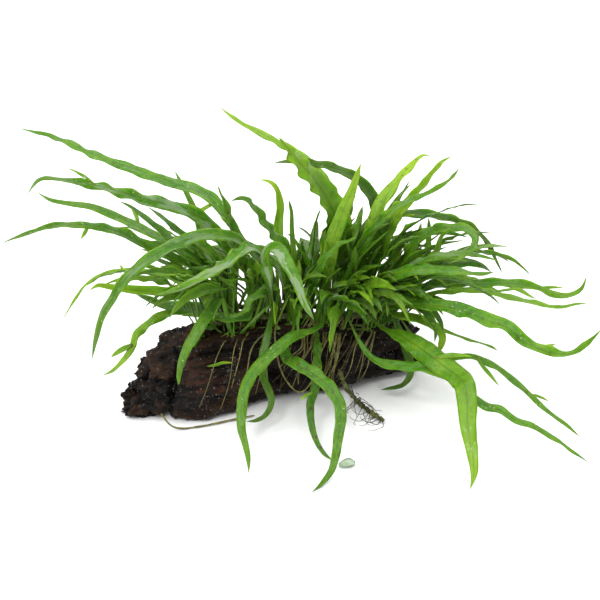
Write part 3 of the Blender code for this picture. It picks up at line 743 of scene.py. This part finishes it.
rhizome_skin = stem_material("scaly rhizome", (0.090, 0.105, 0.020, 1), (0.024, 0.022, 0.006, 1),
    1.8 * MM)
root_skin = stem_material("wiry root", (0.200, 0.195, 0.058, 1), (0.085, 0.072, 0.022, 1),
    3.0 * MM)
STEMS = {   # the piece, its smoothing, the height and spacing of its knobs in mm, and its finish
    "rhizome_front": ("creeping_rhizome_front", 2, 1.2, 4.0, "rhizome"),
    "rhizome_back": ("creeping_rhizome_back", 2, 1.2, 4.0, "rhizome"),
    "rhizome_tip": ("creeping_rhizome_tip", 2, 1.0, 3.0, "rhizome"),
    "root_loop": ("loose_root", 1, 0.15, 3.0, "root"),
    "fallen_stalk": ("fallen_old_stalk", 1, 0.15, 3.0, "root"),
}
stem_skin = stem_tree()
for node, (name, smoothing, knob, spacing, slot) in STEMS.items():
    stem = made_by(stem_skin, merged_copy(node), name, {
        "Smoothing": smoothing,
        "Knob Height": knob * MM,
        "Knob Spacing": spacing * MM,
        "Material": rhizome_skin if slot == "rhizome" else root_skin,
    })
    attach(stem, "root")
    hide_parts(node)

# ---- Inner shoots --------------------------------------------------------------------------------
# Between the large fronds stand many younger and shorter ones, with thin stalks and narrow blades.
# They lean out like a fan, spray to both sides, and spill over the front of the log. They have no
# solids of their own, and grow from the rhizomes or from the log just below.

SHOOT_STEPS = 12
SHOOT_COLUMNS = 7
WOOD_CLEARANCE = 2.5 * MM
THIN_PLACE = 12 * MM      # the clump is lower and thinner here
THIN_WIDTH = 26 * MM
THIN_SHARE = 0.38

wood_surface = BVHTree.FromPolygons([corner.co.copy() for corner in driftwood.data.vertices],
    [tuple(face.vertices) for face in driftwood.data.polygons])


def clear_of_wood(place, clearance):
    """The place, moved out of the wood if it is inside it or too near."""
    nearest, normal, _, _ = wood_surface.find_nearest(place)
    if (place - nearest).dot(normal) < clearance and (place - nearest).length < 30 * MM:
        return nearest + normal * clearance
    return place


def front_of_wood(x, z):
    """Where the log's front is at this x and z, or None past its edges."""
    return wood_surface.ray_cast(Vector((x, -300 * MM, z)), Vector((0, 1, 0)))[0]


def on_rhizome(node, share):
    """The middle of the rhizome at a share of its length."""
    low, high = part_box(node)
    x = low.x + (high.x - low.x) * share
    near = [v.co for v in frame["nodes"][node].data.vertices if abs(v.co.x - x) < 4 * MM]
    return sum(near, Vector()) / len(near)


def shoot_sections(root, lean, turn, length, width, droop, twist, stalk):
    """A shoot that rises from its root, leans out and bends over under its own weight."""
    sections = []
    place = root.copy()
    for i in range(SHOOT_STEPS + 1):
        t = i / SHOOT_STEPS
        angle = lean * (0.45 + 0.55 * t) + droop * t * t
        out = Vector((math.cos(turn), math.sin(turn), 0))
        along = out * math.sin(angle) + Vector((0, 0, math.cos(angle)))
        up = out * -math.cos(angle) + Vector((0, 0, math.sin(angle)))
        up = Matrix.Rotation(twist * (0.5 + t), 3, along) @ up
        past = max((t - stalk) / (1 - stalk), 0)
        grown = min(past / 0.4, 1)
        half = 0.5 * MM + width / 2 * grown * grown * (3 - 2 * grown) * (1 - past**1.5)
        sections.append((clear_of_wood(place, WOOD_CLEARANCE), along.cross(up), up,
            half * min((1 - t) * 12, 1)))
        place = place + along * length / SHOOT_STEPS
        place.z = max(place.z, 1.5 * MM)
    return sections


def make_shoots(name, rails, ruffle, slot, finish=None):
    shoots = made_by(blade, rail_guide(name + "_rails", rails), name, {
        "Columns": SHOOT_COLUMNS,
        "Ruffle Height": ruffle * MM,
        "Ruffle Length": 15 * MM,
        "Edge Wave": 0.3,
        "Cup": 0.35,
        "Wander": 3.5 * MM,
        "Rib Height": 0.15 * MM,
        "Table Clearance": TABLE_CLEARANCE,
        "Material": finish or leaf_finishes[slot],
    })
    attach(shoots, "root")


def shoot_root(row, share, down):
    """A place on the rhizome, or on the front of the log below it."""
    crown = on_rhizome(row, share)
    if down == 0:
        return crown + Vector((chance.uniform(-2, 2), chance.uniform(-2, 2), 0)) * MM
    return front_of_wood(crown.x, crown.z - down) or crown


def grow_shoots(name, slot, row, count, part, across, back, length, width, droop, stalk,
        down=(0, 0)):
    """A group of shoots along part of a rhizome, or that far down the log's front. across is the
    lean to the right, the fan over the whole rhizome and the stray; back is the lean and stray."""
    lean, fan, stray = across
    rails = []
    for i in range(count):
        share = part[0] + (part[1] - part[0]) * (i + chance.uniform(0, 1)) / count
        across_lean = lean + (share - 0.5) * fan + chance.gauss(0, stray)
        back_lean = back[0] + chance.gauss(0, back[1])
        tilt = math.radians(min(math.hypot(across_lean, back_lean), 88))
        root = shoot_root(row, share, chance.uniform(*down) * MM)
        near_gap = math.exp(-((root.x - THIN_PLACE) / THIN_WIDTH) ** 2)
        thinned = 1 - THIN_SHARE * near_gap * math.cos(tilt)
        sections = shoot_sections(root, tilt, math.atan2(back_lean, across_lean),
            chance.uniform(*length) * thinned * MM, chance.uniform(*width) * MM,
            math.radians(chance.uniform(*droop)), math.radians(chance.uniform(-60, 60)),
            chance.uniform(*stalk))
        dark = chance.uniform(0, 0.6) + (0.25 if slot == "old_leaf" else 0)
        look = (chance.choice((0.05, 0.2, 0.45, 0.8)), dark, chance.uniform(0, 0.3),
            chance.choice((0.0, 0.0, 0.15, 0.4)))
        rails.append(fine_rail(sections, 2.6 * MM, chance.uniform(0, 40), look))
    make_shoots(name, rails, 1.3, slot)


chance = random.Random(21)
grow_shoots("inner_shoots_front", "leaf", "rhizome_front", 62, part=(0, 1), across=(0, 100, 20),
    back=(-8, 20), length=(54, 106), width=(4, 8.5), droop=(0, 75), stalk=(0.32, 0.55))
grow_shoots("inner_shoots_back", "old_leaf", "rhizome_back", 76, part=(0, 1), across=(0, 100, 20),
    back=(8, 20), length=(38, 82), width=(5, 10.5), droop=(0, 75), stalk=(0.2, 0.42))
grow_shoots("dark_heart", "old_leaf", "rhizome_back", 9, part=(0.52, 0.80), across=(8, 40, 8),
    back=(-6, 10), length=(62, 96), width=(9, 14), droop=(5, 60), stalk=(0.25, 0.4))
grow_shoots("right_spray", "leaf", "rhizome_front", 13, part=(0.60, 0.98), across=(60, 0, 14),
    back=(-8, 24), length=(80, 138), width=(6, 12), droop=(10, 80), stalk=(0.35, 0.5))
grow_shoots("left_spray", "leaf", "rhizome_front", 16, part=(0.02, 0.35), across=(-60, 0, 12),
    back=(-5, 24), length=(70, 125), width=(5, 10), droop=(0, 60), stalk=(0.35, 0.5))
grow_shoots("shoulder_shoots", "leaf", "rhizome_front", 40, part=(0.24, 0.96), across=(0, 70, 20),
    back=(-20, 8), length=(48, 88), width=(3.5, 7.5), droop=(0, 70), stalk=(0.35, 0.6),
    down=(3, 14))
grow_shoots("broad_fringe", "leaf", "rhizome_front", 11, part=(0.50, 0.96), across=(14, 90, 16),
    back=(-44, 12), length=(58, 86), width=(9, 13), droop=(35, 95), stalk=(0.2, 0.35))
grow_shoots("front_fringe", "leaf", "rhizome_front", 38, part=(0, 1), across=(0, 90, 38),
    back=(-54, 16), length=(46, 90), width=(4, 9), droop=(30, 110), stalk=(0.25, 0.5))

# ---- Leaflets and scraps -------------------------------------------------------------------------
# Little new leaves sprout from the sides of some old fronds. One yellow-green scrap of leaf lies
# against the log's front, and one pale scrap lies flat on the table. All are thin leaf.

LEAFLETS = (   # the frond, how far along it, the turn off it, length and width in mm
    ("frond_left_far", 0.72, 60, 14, 2.6),
    ("frond_left_broad", 0.78, -35, 22, 3.0),
    ("frond_left_slim", 0.62, -50, 20, 3.0),
    ("frond_left_thin", 0.58, 55, 16, 2.4),
    ("frond_left_thin", 0.64, -70, 9, 1.8),
    ("frond_left_high", 0.42, 75, 22, 3.2),
    ("frond_left_twisted", 0.75, -40, 18, 4.0),
    ("frond_left_spotted", 0.70, 30, 15, 3.0),
    ("frond_right_wavy", 0.80, 45, 12, 2.6),
    ("frond_right_long", 0.66, -30, 24, 3.6),
    ("frond_right_long", 0.80, 28, 20, 2.6),
    ("frond_right_long_thin", 0.60, 40, 22, 2.4),
    ("frond_right_low_thin", 0.55, -28, 28, 2.8),
    ("frond_right_low_thin", 0.80, 35, 14, 2.0),
    ("frond_right_high", 0.55, 40, 24, 4.0),
    ("frond_right_yellow", 0.62, -45, 14, 2.4),
    ("frond_right_drooping", 0.45, 50, 26, 4.0),
    ("frond_front_spotted", 0.60, -45, 12, 2.4),
)
LEAFLET_STEPS = 6


def leaflet_sections(node, at, turn, length, width):
    """A leaflet that leaves the frond's midrib at the turn, and bends a little more."""
    whole = frond_sections(node)
    k = int(at * (len(whole) - 1))
    place, side, up, _ = whole[k]
    forward = (whole[k + 1][0] - place).normalized()
    sections = []
    for i in range(LEAFLET_STEPS + 1):
        t = i / LEAFLET_STEPS
        heading = Matrix.Rotation(math.radians(turn * (1 - 0.35 * t)), 3, up) @ forward
        half = width / 2 * math.sin(math.pi * min(0.12 + 0.88 * t, 1)) ** 0.8
        sections.append((place.copy(), up.cross(heading), up, half))
        place = place + heading * length / LEAFLET_STEPS - Vector((0, 0, 0.4 * MM * t))
    return sections


rails = []
for node, at, turn, length, width in LEAFLETS:
    sections = leaflet_sections(node, at, turn, length * MM, width * MM)
    rails.append(fine_rail(sections, 2 * MM, chance.uniform(0, 40), (0.7, 0.0, 0.1, 0.0)))
make_shoots("leaflets", rails, 0.7, "young_leaf")

sections = []
for i, half in enumerate((0.3, 1.2, 1.8, 1.7, 1.0, 0.0)):
    front = front_of_wood((-35 + 3.4 * i) * MM, (45 - 0.5 * i) * MM)
    sections.append((front - Vector((0, 1.4 * MM, 0)), Vector((0, -0.35, 0.94)),
        Vector((0, -0.94, -0.35)), half * MM))
rail = fine_rail(sections, 1.5 * MM, 3.0, (1.0, 0.0, 0.2, 0.0))
make_shoots("yellow_scrap", [rail], 0.5, "young_leaf")

faded, tree, shader = new_material("faded leaf", Roughness=0.35, Specular_IOR_Level=0.3)
place = place_on_piece(tree)
colour = blend(place.noise(1 / (2.5 * MM), 3.0).ramp(0.35, 0.65), (0.30, 0.42, 0.27, 1),
    (0.46, 0.56, 0.42, 1))
plug(tree, shader.inputs["Base Color"], colour)
bumped(tree, shader, place.noise(1 / (0.7 * MM), 2.0), 0.4, 0.2 * MM)
sections = []
for i, half in enumerate((1.6, 3.4, 4.6, 5.0, 4.2, 2.2)):
    sections.append((Vector((52 + 2.1 * i, -100 + 0.3 * i, 1.0)) * MM, Vector((0, -1, 0)),
        Vector((0, 0, 1)), half * MM))
rail = fine_rail(sections, 1.0 * MM, 9.0, (0.0, 0.0, 0.0, 0.0))
make_shoots("faded_scrap", [rail], 0.5, "old_leaf", faded)

# ---- Root strands and hair roots -----------------------------------------------------------------
# Thin pale roots and old bare stalks hang side by side over the front of the log, and dark hair
# roots curl on the table round the rhizome's tip. They are wiry, and grew there.

STRANDS = 42
LEFT_STRANDS = 3
STRAND_STEPS = 12
HAIR_ROOTS = 24
HAIR_STEPS = 7


def thread_tree():
    tree, size = geometry_tree("thread", {"Sides": "Int", "Unevenness": "Float",
        "Material": "Material"})
    line = grow(tree, "GeometryNodeMeshToCurve", {0: size["Geometry"]})
    beads = joined(tree, read(tree, "along") / (5 * MM), read(tree, "phase"), 0.0).noise(1.0) - 0.5
    radius = read(tree, "girth") * (beads * size["Unevenness"] + 1.0)
    circle = grow(tree, "GeometryNodeCurvePrimitiveCircle", {"Radius": 1.0})
    plug(tree, circle.inputs["Resolution"], size["Sides"])
    tube = grow(tree, "GeometryNodeCurveToMesh", {0: line.outputs[0],
        "Profile Curve": circle.outputs[0], "Scale": radius, "Fill Caps": True})
    end_tree(tree, tube.outputs[0], size["Material"])
    return tree


def thread_rail(places, radius, phase):
    """A thread through the places, thinner to its end."""
    rail, last = [], len(places) - 1
    count = last * 4
    for i in range(count + 1):
        at = last * i / count
        four, t = four_round(places, at)
        rail.append({"centre": between(*four, t), "girth": radius * (1 - 0.7 * i / count),
            "along": at * 5 * MM, "phase": phase})
    return rail


def make_threads(name, rails, finish):
    threads = made_by(thread, rail_guide(name + "_rails", rails), name,
        {"Sides": 6, "Unevenness": 0.6, "Material": finish})
    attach(threads, "root")


thread = thread_tree()
hair_skin = stem_material("dark hair root", (0.020, 0.012, 0.007, 1), (0.006, 0.004, 0.003, 1),
    3.0 * MM)


def before_wood(place, clearance):
    """The place, brought in front of the wood if the wood is there."""
    front = front_of_wood(place.x, place.z)
    if front and place.y > front.y - clearance:
        return Vector((place.x, front.y - clearance, place.z))
    return place


def eased(places, passes):
    """The places with their kinks smoothed out, and their ends kept."""
    for _ in range(passes):
        inner = [(a + b * 2 + c) / 4 for a, b, c in zip(places, places[1:], places[2:])]
        places = [places[0], *inner, places[-1]]
    return places


rails = []
for i in range(STRANDS):
    share = chance.choice((0.3, 0.55, 0.55)) + 0.43 * chance.uniform(0, 1)
    if i < LEFT_STRANDS:
        share = 0.08 + 0.07 * i
    root = on_rhizome("rhizome_front", share)
    slant = (-15 + 6 * math.sin(share * 21) + chance.gauss(0, 5)) * MM
    drop = chance.uniform(0.45, 0.9) * root.z
    reach = chance.uniform(20, 28) * MM
    clearance = chance.uniform(2, 6) * MM
    places = [root]
    for step in range(1, STRAND_STEPS + 1):
        t = step / STRAND_STEPS
        place = root + Vector((slant * t * t, -reach * math.sin(min(t * 2.2, 1.57)),
            4 * MM * math.sin(t * 4) - drop * t**1.7))
        place = clear_of_wood(place, WOOD_CLEARANCE)
        places.append(before_wood(place, clearance) if t > 0.4 else place)
    rails.append(thread_rail(eased(places, 4), chance.choice((0.25, 0.35, 0.5, 0.8)) * MM,
        chance.uniform(0, 40)))
make_threads("root_strands", rails, root_skin)

rails = []
tip_low, tip_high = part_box("rhizome_tip")
for i in range(HAIR_ROOTS):
    share = chance.uniform(0.1, 0.95)
    start = Vector((tip_low.x + (tip_high.x - tip_low.x) * share,
        tip_high.y + (tip_low.y - tip_high.y) * share,
        tip_high.z * (1 - share) ** 1.6 + 2 * MM))
    heading = chance.uniform(0, 2 * math.pi)
    curl = chance.choice((-1, 1)) * chance.uniform(1.5, 4.5)
    places = [start]
    for step in range(HAIR_STEPS):
        heading += curl / HAIR_STEPS + chance.gauss(0, 0.3)
        stride = Vector((math.cos(heading), math.sin(heading), -0.6 - 0.1 * step))
        stride *= chance.uniform(1.6, 3.4) * MM
        place = places[-1] + stride
        place.z = max(place.z, 0.5 * MM)
        places.append(place)
    rails.append(thread_rail(places, chance.uniform(0.2, 0.35) * MM, chance.uniform(0, 40)))
make_threads("hair_roots", rails, hair_skin)

# ---- Table, light and camera ---------------------------------------------------------------------
# A plain white table top, which isn't part of the object, and soft light from all round. Broad
# lamps stand high at the front left and the back right, and a small bright one stands in front.
# The camera looks down on the clump from the front.

CAMERA_PLACE = Vector((0.027, -0.88872, 0.48606))
CAMERA_AIM = Vector((0.027, 0.01758, 0.06344))
CAMERA_SENSOR = 36
CAMERA_LENS = CAMERA_SENSOR * 1000 / 420      # it takes in 420 mm at a distance of 1000 mm

bpy.ops.mesh.primitive_plane_add(size=60)
table = bpy.context.object
table.name = "table_top"
paper, tree, shader = new_material("white table", Roughness=0.6)
shader.inputs["Base Color"].default_value = (0.97, 0.97, 0.97, 1)
table.data.materials.append(paper)

world = bpy.data.worlds.new("soft white room")
world.use_nodes = True
world.node_tree.nodes["Background"].inputs["Color"].default_value = (1, 1, 1, 1)
world.node_tree.nodes["Background"].inputs["Strength"].default_value = 0.56
bpy.context.scene.world = world


def soft_sun(name, towards, spread, strength):
    """Even light from one side of the sky; spread is how wide it looks, in degrees."""
    light = bpy.data.lights.new(name, "SUN")
    light.angle = math.radians(spread)
    light.energy = strength
    in_scene(name, light).rotation_euler = Vector(towards).to_track_quat("-Z", "Y").to_euler()


soft_sun("high_soft_light", (0.35, 0.35, -1), 80, 3.6)
soft_sun("back_soft_light", (-0.5, -0.9, -0.9), 60, 1.1)
soft_sun("small_bright_light", (0.25, 0.75, -0.9), 5, 0.6)

camera = in_scene("camera", bpy.data.cameras.new("camera"))
camera.data.sensor_width = CAMERA_SENSOR
camera.data.lens = CAMERA_LENS
camera.location = CAMERA_PLACE
camera.rotation_euler = (CAMERA_AIM - CAMERA_PLACE).to_track_quat("-Z", "Y").to_euler()
bpy.context.scene.camera = camera
bpy.context.scene.view_settings.view_transform = "Standard"
